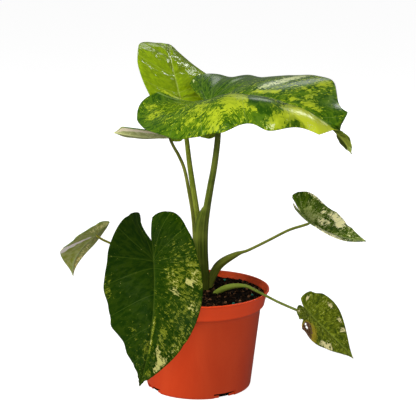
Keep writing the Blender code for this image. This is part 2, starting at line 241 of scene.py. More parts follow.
def terracotta_plastic():
    """Satin moulded plastic with faint flow marks and fine scuffs, painted light on the rim, painted shade in the
    mouth.
    """
    f = Nodes("terracotta_plastic")
    place = f.place()
    flow = f.cloud(place, 22, 4, 0.6, 0.6, (1, 1, 0.35))
    speck = f.cloud(place, 420, 2, 0.6)
    scuff = f.cloud(place, 130, 5, 0.7, 1.2, (1, 1, 3))
    colour = f.blend(f.fade(flow, 0.3, 0.75), (0.6, 0.046, 0.0055), (0.66, 0.062, 0.01))
    colour = f.blend(f.fade(speck, 0.55, 0.8, 0, 0.3), colour, (0.53, 0.036, 0.005))
    colour = f.blend(f.fade(scuff, 0.62, 0.8, 0, 0.18), colour, (0.74, 0.13, 0.045))
    # Heights in metres over which the painted light on the rim and the painted shade in the mouth set in
    rim_light_heights, mouth_shade_heights = (0.0925, 0.096), (0.099, 0.103)
    x, y, z = f.add("SeparateXYZ", Vector=place).outputs
    # The rim is lightened with painted light, patchy along the flow marks
    rim_painted_light = f.times(f.fade(z, *rim_light_heights), f.fade(flow, 0.2, 0.7, 0.75, 1))
    colour = f.blend(rim_painted_light, colour, (0.9, 0.072, 0.01))
    radius = f.reckon("POWER", f.plus(f.reckon("POWER", x, 2), f.reckon("POWER", y, 2)), 0.5)
    # Less the rim's taper, the radius tells the inner face from the outer one
    taper, inner_face, outer_face = 0.37, 0.0361, 0.037
    within = f.fade(f.plus(radius, f.times(z, -taper)), inner_face, outer_face, 0.95, 0)
    # Higher up, the inner face gets painted shade, patchy with the scuffs
    mouth_painted_shade = f.times(within, f.fade(z, *mouth_shade_heights))
    colour = f.blend(f.times(mouth_painted_shade, f.fade(scuff, 0.2, 0.6, 0.7, 1)), colour, (0.29, 0.032, 0.007))
    rough = f.plus(f.fade(flow, 0.3, 0.7, 0.34, 0.42), f.fade(scuff, 0.55, 0.8, 0, 0.14))
    grain = f.bump(f.cloud(place, 2600, 2), 0.1, 0.0002)
    return f.close(colour, rough, f.bump(flow, 0.25, 0.0006, grain), 0.3)


def make_pot():
    floor_top = FLOOR_INSIDE[0][1]
    profile = [
        (0, floor_top), (FLOOR_RING, floor_top), *smooth_line(FLOOR_INSIDE, 8),
        *straight_line(FLOOR_INSIDE[-1], RIM_INSIDE[0], 10), *smooth_line(RIM_INSIDE, 46),
        *smooth_line(RIM_OUTSIDE, 52), *straight_line(RIM_OUTSIDE[-1], FOOT_OUTSIDE[0], 12),
        *smooth_line(FOOT_OUTSIDE, 9), (FLOOR_RING, 0), (0, 0)]
    pot = to_object("nursery_pot", turned(profile, POT_STEPS), terracotta_plastic())
    cutters = []
    for angle in DRAINS:
        for half, height, inner in (DRAIN_NOTCH, DRAIN_OPENING):
            section = (
                (inner, BELOW_FOOT), (PAST_WALL, BELOW_FOOT), (PAST_WALL, height - ROOF_DIP),
                (ROOF_DIP_FROM, height), (inner, height))
            cutters.append(to_object("drain_cutter", swept(section, angle, half, 12), smooth=False))
            cut = pot.modifiers.new("Drain", "BOOLEAN")
            cut.operation = "DIFFERENCE"
            cut.solver = "EXACT"
            cut.object = cutters[-1]
    view = bpy.context.evaluated_depsgraph_get()
    cut_mesh = bpy.data.meshes.new_from_object(pot.evaluated_get(view))
    pot.modifiers.clear()
    pot.data = cut_mesh
    for cutter in cutters:
        bpy.data.objects.remove(cutter, do_unlink=True)
    pot.data.shade_smooth()
    pot.data.set_sharp_from_angle(angle=math.radians(35))
    return pot


pot = make_pot()
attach(pot, "root")
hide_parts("pot")


# Potting soil
# Loose peat and bark potting mix, filled to just below the rim and dried on top into dark crumbs, with a few
# turquoise prills of slow-release feed. The top is left loose, and the rest takes the pot's inner shape.
SOIL_SIDE = (
    (73.9, 105.4), (73.4, 103.6), (73, 100.4), (72.5, 97.1), (71.6, 94.8), (70, 92.2), (67.5, 88.7), (57, 4.2),
    (55.6, 2.7), (0, 2.7))
SOIL_LEVEL = 104.6
CRUMBS, CRUMBS_WITHIN = 2600, 73
# Section of the mix in a drain opening, which also darkens the opening as painted shade
PLUG = ((51, 0.5), (55.4, 0.5), (56, 1.8), (56.1, 3.2), (56.4, 4.9), (51, 4.9))
# Places of the prills on the top
PRILLS = (
    (38.5, -46.5), (40, -51), (10.5, -60), (19.5, -64.5), (-12, 48), (-40, 30), (52, 24), (30, 55), (-55, -6),
    (-30, -38), (60, -10), (-8, -35))


def soil_height(x, y):
    """Height of the soil's top at a place, a little higher and smoother toward the wall."""
    r = math.hypot(x, y)
    level = SOIL_LEVEL + 0.9 * min(r / 70, 1) ** 2
    rough = noise.noise(Vector((x / 16, y / 16, 3.1))) * 1.1 + noise.noise(Vector((x / 5, y / 5, 7.7))) * 0.9
    edge = max(0, (r - 71) / 3)
    return level + rough * (1 - 0.5 * edge)


def scatter(i, salt):
    """Steady share between 0 and 1 for the i-th crumb."""
    return (math.sin(i * 12.9898 + salt * 78.233) * 43758.5453) % 1


def potting_mix():
    """Dark, dry, crumbly peat and bark: each crumb has its own brown, with fibres and dusty edges."""
    f = Nodes("potting_mix")
    place = f.place()
    own = f.mark("crumb")
    fibre = f.cloud(place, 900, 4, 0.65, 0.8, (1, 2.5, 1))
    patch = f.cloud(place, 160, 3, 0.6)
    colour = f.blend(f.fade(own, 0.3, 0.75), (0.0045, 0.003, 0.0018), (0.026, 0.013, 0.006))
    colour = f.blend(f.fade(own, 0.8, 0.97), colour, (0.2, 0.095, 0.042))
    colour = f.blend(f.fade(fibre, 0.58, 0.75, 0, 0.5), colour, (0.09, 0.045, 0.02))
    colour = f.blend(f.fade(patch, 0.35, 0.6, 0, 0.6), colour, (0.004, 0.0028, 0.002))
    rough = f.fade(fibre, 0.3, 0.7, 0.98, 0.82)
    normal = f.bump(fibre, 0.8, 0.0006, f.bump(f.cloud(place, 2400), 0.5, 0.0003))
    return f.close(colour, rough, normal, 0.08)


def feed_prill():
    """Resin-coated feed, turquoise, slightly glossy and dusty."""
    f = Nodes("feed_prill")
    dust = f.cloud(f.place(), 1500, 3, 0.6)
    colour = f.blend(f.fade(dust, 0.4, 0.7), (0.004, 0.16, 0.11), (0.02, 0.09, 0.065))
    return f.close(colour, f.fade(dust, 0.3, 0.7, 0.3, 0.6), f.bump(dust, 0.3, 0.0002))


def make_crumbs(first, last):
    """A batch of loose crumbs, each a small lump with its own shape, turn and tone."""
    bm = bmesh.new()
    own = bm.verts.layers.float.new("crumb")
    for i in range(first, last):
        r = CRUMBS_WITHIN * math.sqrt(scatter(i, 1))
        a = 2 * math.pi * scatter(i, 2)
        size = 0.5 + 1.7 * scatter(i, 3) ** 2.5
        r = min(r, CRUMBS_WITHIN + 0.2 - size)
        x, y = r * math.cos(a), r * math.sin(a)
        new = bmesh.ops.create_icosphere(bm, subdivisions=1, radius=size * MM)["verts"]
        tone = scatter(i, 4)
        for k, v in enumerate(new):
            v.co *= 0.72 + 0.5 * scatter(i * 13 + k, 5)
            v[own] = tone
        bmesh.ops.scale(bm, verts=new, vec=(1, 0.55 + 0.7 * scatter(i, 6), 0.6 + 0.4 * scatter(i, 7)))
        bmesh.ops.rotate(bm, verts=new, cent=(0, 0, 0), matrix=turn_about_z(360 * scatter(i, 8)))
        bmesh.ops.translate(bm, verts=new, vec=(x * MM, y * MM, (soil_height(x, y) + size * 0.35) * MM))
    return bm


def make_plug(angle):
    """Mix settled into one drain opening; its dark soil also stands in as painted shade inside the opening."""
    bm = swept(PLUG, angle, DRAIN_OPENING[0], 14)
    for v in bm.verts:
        v.co *= 1 + 0.004 * noise.noise(v.co * 900)
    return bm


def take_in(bm, other):
    """Adds another bmesh to this one."""
    data = to_mesh("taken_in", other)
    bm.from_mesh(data)
    bpy.data.meshes.remove(data)


def make_soil():
    top, ground_tone, batch = SOIL_SIDE[0][1], 0.15, 50
    bm = turned([(r, top) for r in (0, *range(2, 73))] + list(SOIL_SIDE), 180)
    own = bm.verts.layers.float.new("crumb")
    for v in bm.verts:
        x, y, z = v.co / MM
        if z > top - 0.5:
            v.co.z = soil_height(x, y) * MM
        v[own] = ground_tone
    for first in range(0, CRUMBS, batch):
        take_in(bm, make_crumbs(first, min(first + batch, CRUMBS)))
    for angle in DRAINS:
        take_in(bm, make_plug(angle))
    return to_object("potting_soil", bm, potting_mix(), smooth=False)


def make_prills():
    bm = bmesh.new()
    for i, (x, y) in enumerate(PRILLS):
        new = bmesh.ops.create_icosphere(bm, subdivisions=2, radius=(1.35 + 0.3 * scatter(i, 9)) * MM)["verts"]
        bmesh.ops.scale(bm, verts=new, vec=(1, 0.92, 0.88))
        bmesh.ops.translate(bm, verts=new, vec=(x * MM, y * MM, (soil_height(x, y) + 0.9) * MM))
    return to_object("feed_prills", bm, feed_prill())


soil = make_soil()
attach(soil, "root")
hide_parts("soil")
prills = make_prills()
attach(prills, "root")


# Leaves and their petioles
# Each leaf is a heart-shaped blade of living tissue, here a little thicker than the real one, on a fleshy petiole
# that ends under its hub. The veins are sunk above and stand proud below, and the blade swells between them.
BLADE = 0.7
# Half of the plain outline, from the sinus round to the tip: how far along the midrib from the hub, and aside of it
OUTLINE = (
    (-0.36, 0.07), (-0.395, 0.15), (-0.36, 0.25), (-0.26, 0.325), (-0.12, 0.37), (0.04, 0.39), (0.2, 0.395),
    (0.36, 0.375), (0.52, 0.315), (0.68, 0.225), (0.82, 0.125), (0.92, 0.05), (1, 0))
HALF_WIDTH = 0.4
# How far a blade may pass the box of its solid
LEEWAY = 2
# Rows at which the side veins of each half reach the margin, and the row from which on a lobe lies beside the sinus
VEINS = (-1, -0.72, -0.46, -0.23, 0.01, 0.28, 0.5, 0.68, 0.83, 1)
LOBE_ROW = -0.6
# Steps in which the midrib is followed, behind and ahead of the hub
STEPS_BEHIND, STEPS_AHEAD = 60, 100
# Height at which a petiole starts in the soil, and the height up to which it stays upright there
STEM_DEPTH, STEM_UPRIGHT = 90.3, 98
# No waves, nicks or patches in either half
NEITHER = ((), ())


def three(values, t):
    """Smooth value at share t from its settings at the lobes, at a third and at the tip."""
    x = min(max((t + 0.4) / 1.4, 0), 1)
    a, b, c = values
    return a * (1 - x) * (1 - 2 * x) + 4 * b * x * (1 - x) + c * x * (2 * x - 1)


def eased(x):
    x = min(max(x, 0), 1)
    return x * x * (3 - 2 * x)


def bell(x):
    return math.exp(-x * x)


@dataclass
class Leaf:
    """One blade. Settings in threes hold at the lobes, at a third of the blade and at the tip. Settings for each
    half name the left one first, seen from the hub. Angles are in degrees, and rows and shares are those of flat.
    """

    hub: tuple
    length: float
    # Rise of the midrib, where it heads (0 is right, 90 away from the front), turn about it, and bend to the left
    pitch: tuple
    head: tuple
    roll: tuple
    sweep: tuple
    # For each half: width and length of the lobe beside the outline's, and slope beside the midrib
    widths: tuple
    lobes: tuple
    fold: tuple
    # For each half: row of each wave's crest, share by which it widens the blade, and height at the margin
    waves: tuple
    wave_width: float = 0.15
    # For each half: how far the lobe turns aside, and further slope gained on the way to the margin
    spread: tuple = (0, 0)
    curl: tuple = ((0, 0, 0), (0, 0, 0))
    # Places and half widths of a narrow tip, and how far it turns about the midrib and upward
    tip: tuple = ()
    twist: tuple = (0, 0)
    # How round each side of the sinus is, and up to which share the lobes are joined beside it
    sinus: tuple = (0, 0)
    closed: float = 0
    # For each half: row, half width and depth of each nick in the margin, which swells it out if negative
    nicks: tuple = NEITHER
    # How far the streaks of each half run askew to the veins
    slant: tuple = (0, 0)
    # Height of the blade between two veins, and height, place and width of a ridge along the midrib
    swell: float = 0.4
    ridge: tuple = (0, 0, 1)

    def __post_init__(self):
        """Points of the midrib, from behind the hub to the tip."""
        ways = [self.axes(i / STEPS_AHEAD)[0] for i in range(-STEPS_BEHIND, STEPS_AHEAD + 1)]
        points = [Vector()]
        for one, two in zip(ways, ways[1:]):
            points.append(points[-1] + (one + two) * (0.5 / STEPS_AHEAD * self.length))
        shift = Vector(self.hub) - points[STEPS_BEHIND]
        self.spine = [p + shift for p in points]

    def axes(self, t):
        """Directions at share t of the blade: along the midrib, to its left, and out of the upper face."""
        pitch, head, roll, sweep = (math.radians(three(v, t)) for v in (self.pitch, self.head, self.roll, self.sweep))
        if self.tip:
            hanging = eased((t - self.tip[1][0] + 0.02) / 0.05)
            roll += math.radians(self.twist[0]) * hanging
            pitch += math.radians(self.twist[1]) * hanging
        along = Vector((math.cos(pitch) * math.cos(head), math.cos(pitch) * math.sin(head), math.sin(pitch)))
        level = Vector((-math.sin(head), math.cos(head), 0))
        up = along.cross(level)
        left = level * math.cos(roll) + up * math.sin(roll)
        out = up * math.cos(roll) - level * math.sin(roll)
        return along * math.cos(sweep) + left * math.sin(sweep), left * math.cos(sweep) - along * math.sin(sweep), out

    def on_spine(self, t):
        x = min(max(t * STEPS_AHEAD + STEPS_BEHIND, 0), STEPS_BEHIND + STEPS_AHEAD - 0.001)
        i = int(x)
        return self.spine[i].lerp(self.spine[i + 1], x - i)

    def wave(self, row, k):
        """How far the margin is widened (a share) and lifted by the waves of half k."""
        widen = lift = 0
        for crest, more, height in self.waves[k]:
            near = bell((row - crest) / self.wave_width)
            widen += more * near
            lift += height * near
        return widen, lift

    def flat(self, row, share, k):
        """Flat place in half k: row -1 at the sinus to 1 at the tip, share 0 at the midrib to 1 at the margin."""
        p, q = along_knots(OUTLINE, (row + 1) / 2)
        q *= three(self.widths[k], p) * (1 + self.wave(row, k)[0])
        if self.tip and p > self.tip[0][0]:
            i = max(j for j in range(len(self.tip) - 1) if self.tip[j][0] <= p)
            (p0, q0), (p1, q1) = self.tip[i], self.tip[i + 1]
            f = eased((p - p0) / (p1 - p0))
            q = (q if i == 0 else q0) * (1 - f) + q1 * f
        q += self.spread[k] * max(0, -p)
        for at, wide, deep in self.nicks[k]:
            q -= deep / self.length * bell((row - at) / wide)
        # A row leaves the midrib at its root, nearer the hub than where it meets the margin
        root = max(0, (p - 0.05) / 0.95) ** 1.6
        if p < 0:
            p *= self.lobes[k]
        inner = max(0, (LOBE_ROW - row) / (LOBE_ROW + 1))
        apart = max(0, share - self.closed) / (1 - self.closed)
        apart += self.sinus[k] * (math.sin(0.5 * math.pi * min(1, 1.18 * apart)) - apart)
        open_share = (1 - inner) * share + inner * apart
        arch = share ** (0.75 if p < 0 else 1.3)
        return (root + (p - root) * arch) * self.length, q * open_share * self.length

    def point(self, row, share, k, raised):
        """Place in space of a point of the blade's middle surface, raised along its normal."""
        p, q = self.flat(row, share, k)
        t = p / self.length
        _, left, out = self.axes(t)
        fold = math.radians(three(self.fold[k], t))
        bend, flattest = math.radians(three(self.curl[k], t)) / (HALF_WIDTH * self.length), 1e-5
        if abs(bend) < flattest:
            bend = flattest
        turn = fold + bend * q
        aside = (math.sin(turn) - math.sin(fold)) / bend - math.sin(turn) * raised
        rise = (math.cos(fold) - math.cos(turn)) / bend + math.cos(turn) * raised
        height, at, wide = self.ridge
        rise += self.wave(row, k)[1] * share**2 + height * bell((t - at) / wide) * (1 - share) ** 2
        return self.on_spine(t) + left * (aside if k == 0 else -aside) + out * rise

    def relief(self, row, share, gap, spacing, aside):
        """Height of the upper face over the middle surface: sunken veins, and a blade that swells between them."""
        hub_zone, full_spacing, rib_width, rib_depth = 14, 9, 1.6, 0.55
        near_hub = min(1, (share * HALF_WIDTH * self.length + aside) / hub_zone)
        to_margin = (1 - 0.5 * share) * (1 - share**8)
        hill = (1 - bell(gap / (0.22 * spacing + 0.6))) * min(1, spacing / full_spacing)
        rib = bell(aside / rib_width) * rib_depth * min(1, max(0, row - LOBE_ROW) * 2)
        return hill * self.swell * to_margin * near_hub - rib * (1 - share**8)


def row_steps(per_gap):
    """Rows of the blade's mesh, with a line on each side vein and closer lines beside it."""
    rows, crowding = [], 0.55
    for one, two in zip(VEINS, VEINS[1:]):
        for i in range(per_gap):
            f = i / per_gap
            f -= crowding * math.sin(2 * math.pi * f) / (2 * math.pi)
            rows.append(one + (two - one) * f)
    return rows + [VEINS[-1]]


def vein_gaps(leaf, row, share, k):
    """Distance from a place to the nearest side vein, and between the two veins beside it."""
    step, none = 0.004, 9
    before, after = max(row - step, -1), min(row + step, 1)
    per_row = math.dist(leaf.flat(before, share, k), leaf.flat(after, share, k)) / (after - before)
    i = max(j for j in range(len(VEINS) - 1) if VEINS[j] <= row)
    low, high = VEINS[i], VEINS[i + 1]
    # The first and the last row are no veins, so the gap to them is made wide
    from_low = row - low if i > 0 else none
    from_high = high - row if i < len(VEINS) - 2 else none
    return min(from_low, from_high) * per_row, (high - low) * per_row


def patch_at(patches, k, row, share):
    """How strongly the patches of one tint cover a place in half k.

    The patches of each half give row, share, half height, half width and strength, which is negative to clear them.
    """
    total = 0
    for r, s, high, wide, much in patches[k]:
        d = ((row - r) / high) ** 4 + ((share - s) / wide) ** 4
        if d < 6:
            total += much * math.exp(-d)
    return total


def make_blade(name, node, leaf, skin, underside, per_gap, columns, holes=NEITHER, leeway=LEEWAY, **tints):
    """The blade as one sheet of even thickness, with its veins, and its tints kept for the material.

    The mesh has per_gap rows between two veins, and columns from the midrib to the margin. It keeps to the box of
    its solid, give or take the leeway, and to the box of all solids.
    """
    rows = row_steps(per_gap)
    # Room for half the thickness and a little more
    room = 0.55 * BLADE * MM
    lowest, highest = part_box(node)
    lowest = [max(a - leeway * MM, b) + room for a, b in zip(lowest, solid_box[0])]
    highest = [min(a + leeway * MM, b) - room for a, b in zip(highest, solid_box[1])]
    # Past these distances from a vein its paint, and the swelling beside it, change no more
    paint_reach, swell_reach = 12, 30
    # The slant of the streaks fades from this row on, over so many rows
    slant_to, slant_fade = 0.15, 0.2
    chart_unit = 100
    bm = bmesh.new()
    bmesh.ops.create_grid(bm, x_segments=2 * columns, y_segments=len(rows) - 1, size=1)
    flat_map = bm.loops.layers.uv.new("blade")
    vein_map = bm.loops.layers.uv.new("veins")
    layers = {name: bm.verts.layers.float.new(name) for name in ("vein_gap", "lime", "cream", "brown")}
    charts, gone = {}, []
    for v in bm.verts:
        k = 0 if v.co.x >= 0 else 1
        side, share = 1 - 2 * k, abs(v.co.x)
        row = rows[round((v.co.y + 1) / 2 * (len(rows) - 1))]
        p, q = leaf.flat(row, share, k)
        gap, spacing = vein_gaps(leaf, row, share, k)
        v[layers["vein_gap"]] = min(gap, paint_reach)
        for tint, patches in tints.items():
            v[layers[tint]] = patch_at(patches, k, row, share)
        slanted = row + leaf.slant[k] * share * (1 - eased((row - slant_to) / slant_fade))
        charts[v] = (side * q / chart_unit, p / chart_unit), (side * share, slanted)
        if patch_at(holes, k, slanted, share) > 0.5:
            gone.append(v)
        raised = leaf.relief(row, share, min(gap, swell_reach), spacing, q)
        v.co = leaf.point(row, share, k, raised) * MM
        for i in range(3):
            v.co[i] = min(max(v.co[i], lowest[i]), highest[i])
    for face in bm.faces:
        for loop in face.loops:
            loop[flat_map].uv, loop[vein_map].uv = charts[loop.vert]
    bmesh.ops.delete(bm, geom=gone, context="VERTS")
    bmesh.ops.remove_doubles(bm, verts=bm.verts, dist=0.00002)
    bmesh.ops.reverse_faces(bm, faces=bm.faces)
    blade = to_object(name, bm, skin, underside)
    solidify = blade.modifiers.new("Thickness", "SOLIDIFY")
    solidify.thickness = BLADE * MM
    solidify.offset = 0
    solidify.material_offset = 1
    solidify.material_offset_rim = 0
    return blade


def withered(f, colour, mottle):
    """Dead tissue: dry brown, greyer in places, inside a yellowed halo."""
    brown = f.mark("brown")
    halo = f.fade(f.plus(brown, f.times(mottle, 0.15)), 0.12, 0.34, 0, 0.85)
    colour = f.blend(halo, colour, (0.4, 0.3, 0.02))
    dry = f.blend(f.fade(mottle, -0.2, 0.3), (0.085, 0.032, 0.009), (0.2, 0.12, 0.06))
    return f.blend(f.fade(f.plus(brown, f.times(mottle, 0.3)), 0.5, 0.62), colour, dry)


def swing(f, cloud, much):
    """A cloud brought to lie about zero."""
    return f.times(f.plus(cloud, -0.5), much)


def beside_midrib(f, blade, near, far, much):
    across = f.add("SeparateXYZ", Vector=blade).outputs["X"]
    return f.fade(f.reckon("ABSOLUTE", across), near, far, much, 0)


def blade_finish(name, dark, mid, pale, cream, vein, ripe=None, fleck=0, streak=1, rough=0.2, scale=1,
                 gloss=0.35, ribs=0.4, midrib=(0.006, 0.014, 0.7), quilt=0.2):
    """Upper face: glossy variegated skin. Pale tissue lies in patches, broken into streaks that follow the veins."""
    f = Nodes(name)
    blade, veins, lime = f.chart("blade"), f.chart("veins"), f.mark("lime")
    streaks = f.cloud(veins, 1, 6, 0.72, 0.9, (6.5 * scale, 64 * scale, 1))
    flecks = f.cloud(blade, 24, 7, 0.76, 0.5)
    tone = f.cloud(veins, 1, 4, 0.6, 0.4, (5 * scale, 20 * scale, 1))
    mottle = f.plus(swing(f, streaks, 2.6 * streak), swing(f, flecks, 3 * streak))
    much = f.plus(f.plus(lime, fleck), mottle)
    is_pale = f.fade(much, 0.46, 0.58)
    is_cream = f.fade(f.plus(f.mark("cream"), f.times(mottle, 0.6)), 0.46, 0.56)
    green = f.blend(f.fade(tone, 0.38, 0.62), dark, mid)
    green = f.blend(f.fade(much, 0.08, 0.44, 0, 0.8), green, mid)
    leaf_lime = f.blend(f.fade(tone, 0.36, 0.64, 0, 0.3), pale, mid)
    leaf_lime = f.blend(f.fade(lime, 0.75, 1.05), leaf_lime, ripe or pale)
    colour = f.blend(is_cream, f.blend(is_pale, green, leaf_lime), cream)
    colour = withered(f, colour, mottle)
    colour = f.blend(f.times(f.fade(f.mark("vein_gap"), 0.1, 0.55, 1, 0), ribs), colour, vein)
    colour = f.blend(beside_midrib(f, blade, *midrib), colour, vein)
    roughness = f.plus(f.fade(tone, 0.3, 0.7, rough, rough + 0.06), f.fade(is_pale, 0, 1, 0, 0.04))
    fine = f.cloud(veins, 1, 2, 0.5, 0.3, (2, 190, 1))
    pillows = f.cloud(veins, 1, 1.5, 0.5, 0.4, (4, 15, 1))
    normal = f.bump(fine, 0.25, 0.0003, f.bump(flecks, 0.12, 0.0004, f.bump(pillows, quilt, 0.003)))
    return f.close(colour, roughness, normal, gloss)


def underside_finish(name, ground, mid, pale, streak, fleck=0.1, scale=1, vein=None):
    """Lower face: matt and paler than the upper one, with a light midrib and the patches showing through."""
    f = Nodes(name)
    blade, veins, vein = f.chart("blade"), f.chart("veins"), vein or streak
    streaks = f.cloud(veins, 1, 5, 0.66, 0.7, (3.5 * scale, 48 * scale, 1))
    flecks = f.cloud(blade, 26, 5, 0.7, 0.4)
    tone = f.cloud(veins, 1, 4, 0.6, 0, (4 * scale, 14 * scale, 1))
    mottle = f.plus(swing(f, streaks, 2.2), swing(f, flecks, 1.4))
    colour = f.blend(f.fade(tone, 0.35, 0.65), ground, mid)
    colour = f.blend(f.fade(f.plus(f.plus(f.mark("lime"), fleck), mottle), 0.4, 0.62, 0, 0.85), colour, streak)
    colour = f.blend(f.fade(f.plus(f.mark("cream"), f.times(mottle, 0.3)), 0.44, 0.56), colour, pale)
    colour = withered(f, colour, mottle)
    colour = f.blend(f.fade(f.mark("vein_gap"), 0.2, 0.9, 0.4, 0), colour, vein)
    colour = f.blend(beside_midrib(f, blade, 0.008, 0.016, 0.7), colour, vein)
    fine = f.cloud(veins, 1, 2, 0.5, 0.3, (2, 190, 1))
    normal = f.bump(fine, 0.35, 0.0004, f.bump(flecks, 0.12, 0.0003))
    return f.close(colour, f.fade(tone, 0.3, 0.7, 0.45, 0.55), normal, 0.25)


def petiole_finish(name, ground, light, shade):
    """Fleshy stalk: fine lengthwise ribs with painted shade in their grooves, paler in places, with small pale
    flecks, and painted shade near the soil.
    """
    f = Nodes(name)
    stem, place = f.chart("stem"), f.place()
    ribs = f.cloud(stem, 1, 3, 0.55, 0.2, (26, 1.2, 1))
    flecks = f.cloud(stem, 1, 3, 0.6, 0, (60, 16, 1))
    tone = f.cloud(place, 34, 3, 0.6)
    colour = f.blend(f.fade(ribs, 0.3, 0.7), shade, ground)
    colour = f.blend(f.fade(tone, 0.35, 0.7, 0, 0.6), colour, light)
    colour = f.blend(f.fade(flecks, 0.62, 0.75, 0, 0.5), colour, light)
    height = f.add("SeparateXYZ", Vector=place).outputs["Z"]
    # Painted shade low down, near the soil
    colour = f.blend(f.fade(height, 0.105, 0.215, 0.7, 0), colour, shade)
    normal = f.bump(ribs, 0.5, 0.0008, f.bump(f.cloud(place, 1500, 2), 0.1, 0.0002))
    return f.close(colour, f.fade(tone, 0.3, 0.7, 0.42, 0.54), normal, 0.3)


def right_of(along):
    """A steady direction across a stalk: to the right while it stands, and down while it lies."""
    across = Vector((1, 0, 0)) - along * along.x
    return (across if across.length >= 0.05 else Vector((0, 0, -1))).normalized()


def make_petiole(name, leaf, path, material, ribs, rib_depth, wings):
    """Ribbed stalk along a path of x, y, z and radius, from inside the soil to just under the leaf's hub.

    Each wing is the thin edge of a sheath: its angle round the stalk in degrees (0 is right, 90 is away from the
    front), the heights between which it stands out, how far it reaches, and how sharp it is.
    """
    _, _, out = leaf.axes(0)
    hub, tip_radius = Vector(leaf.hub), path[-1][3]
    lean = out.angle(hub - Vector(path[-1][:3]))
    # The stalk narrows so far under the blade's middle surface, and ends just inside the blade
    under, within = 0.9, 0.25
    near, end = hub - out * (under + tip_radius * math.sin(lean)), hub - out * within
    x, y, _, base_radius = path[0]
    knots = [
        (x, y, STEM_DEPTH, base_radius), (x, y, STEM_UPRIGHT, base_radius), *path, (*near, tip_radius * 0.9),
        (*end, tip_radius * 0.5)]
    bm = bmesh.new()
    bmesh.ops.create_grid(bm, x_segments=40, y_segments=14 * (len(knots) - 1), size=1)
    stem_map = bm.loops.layers.uv.new("stem")
    chart = {}
    for v in bm.verts:
        t = (v.co.y + 1) / 2
        turn = v.co.x * math.pi
        x, y, z, radius = along_knots(knots, t)
        ahead, behind = along_knots(knots, min(t + 0.002, 1)), along_knots(knots, max(t - 0.002, 0))
        along = (Vector(ahead[:3]) - Vector(behind[:3])).normalized()
        right = right_of(along)
        away = along.cross(right).normalized()
        reach = radius * (1 + rib_depth * math.cos(ribs * turn + 0.4 * math.sin(3 * turn)))
        for angle, low, high, far, sharp in wings:
            if low < z < high:
                swell = eased((z - low) / 12) * (1 - ((z - low) / (high - low)) ** 8)
                reach += far * swell * math.cos((turn - math.radians(angle)) / 2) ** (2 * sharp)
        chart[v] = ((v.co.x + 1) / 2, t * len(knots) * 0.25)
        v.co = (Vector((x, y, z)) + (right * math.cos(turn) + away * math.sin(turn)) * reach) * MM
    for face in bm.faces:
        for loop in face.loops:
            loop[stem_map].uv = chart[loop.vert]
    bmesh.ops.remove_doubles(bm, verts=bm.verts, dist=0.000005)
    bmesh.ops.holes_fill(bm, edges=[e for e in bm.edges if e.is_boundary], sides=0)
    bmesh.ops.recalc_face_normals(bm, faces=bm.faces)
    return to_object(name, bm, material)


def grow(name, node, leaf, skin, underside, stalk, path, ribs=7, rib_depth=0.035, wings=(), **blade_settings):
    """Makes one blade and its petiole, with their finishes, to stand for their solids, which are hidden."""
    skin = blade_finish(name + "_leaf_skin", **skin)
    underside = underside_finish(name + "_leaf_back", **underside)
    blade = make_blade(name + "_leaf", "leaf_" + node, leaf, skin, underside, **blade_settings)
    stalk = petiole_finish(name + "_petiole_skin", **stalk)
    petiole = make_petiole(name + "_leaf_petiole", leaf, path, stalk, ribs, rib_depth, wings)
    for piece, solid in ((blade, "leaf_" + node), (petiole, "petiole_" + node)):
        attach(piece, "root")
        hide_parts(solid)


# Largest leaf
# A broad, wavy blade held almost level on the tallest petiole, whose tip curls down at the right. Its petiole
# carries a sheath drawn out to the left, which clasped the leaf that opened after it.
largest_leaf = Leaf(
    hub=(14.9, 0, 322.4), length=188.6, pitch=(-12, 3, -63), head=(-20, -25, -12), roll=(8, -5, 28),
    sweep=(-19, -11, -3), widths=((0.93, 1.28, 1.02), (1.25, 1.09, 1)), lobes=(0.83, 1.145), spread=(0.26, -0.34),
    fold=((37, 30, 9), (-17, 25, -3)), curl=((-38, -24, 11), (-33, -88, -54)),
    tip=((0.81, 0.1), (0.846, 0.01), (0.88, 0.026), (0.92, 0.036), (0.955, 0.028), (1, 0)), twist=(-88, -3),
    slant=(0, 0.55), swell=0.9, ridge=(4.5, 0.22, 0.12), wave_width=0.09,
    waves=(
        ((-0.43, -0.06, -1.5), (-0.29, 0, 3), (0, -0.03, 1.5), (0.43, 0.14, 0), (0.57, -0.08, -1.5),
         (0.71, 0.1, 6.5)),
        ((-1, -0.09, 2.5), (-0.86, 0, 0.5), (-0.71, 0.03, 1.5), (-0.14, 0.03, -2), (0, 0.04, -3.5),
         (0.14, 0.09, -0.5), (0.29, 0.03, 2), (0.43, 0.26, 2), (0.57, -0.06, -2), (0.71, 0.08, 2))),
    nicks=(
        ((0.69, 0.02, -5), (0.775, 0.05, -2.5), (0.61, 0.06, 1.8)),
        ((0.83, 0.06, -1.5), (-0.82, 0.1, -4.5), (-0.6, 0.06, -1.5), (0.05, 0.12, 2), (0.53, 0.05, 1.2),
         (0.67, 0.05, -1.4), (-0.35, 0.14, 1.6))))
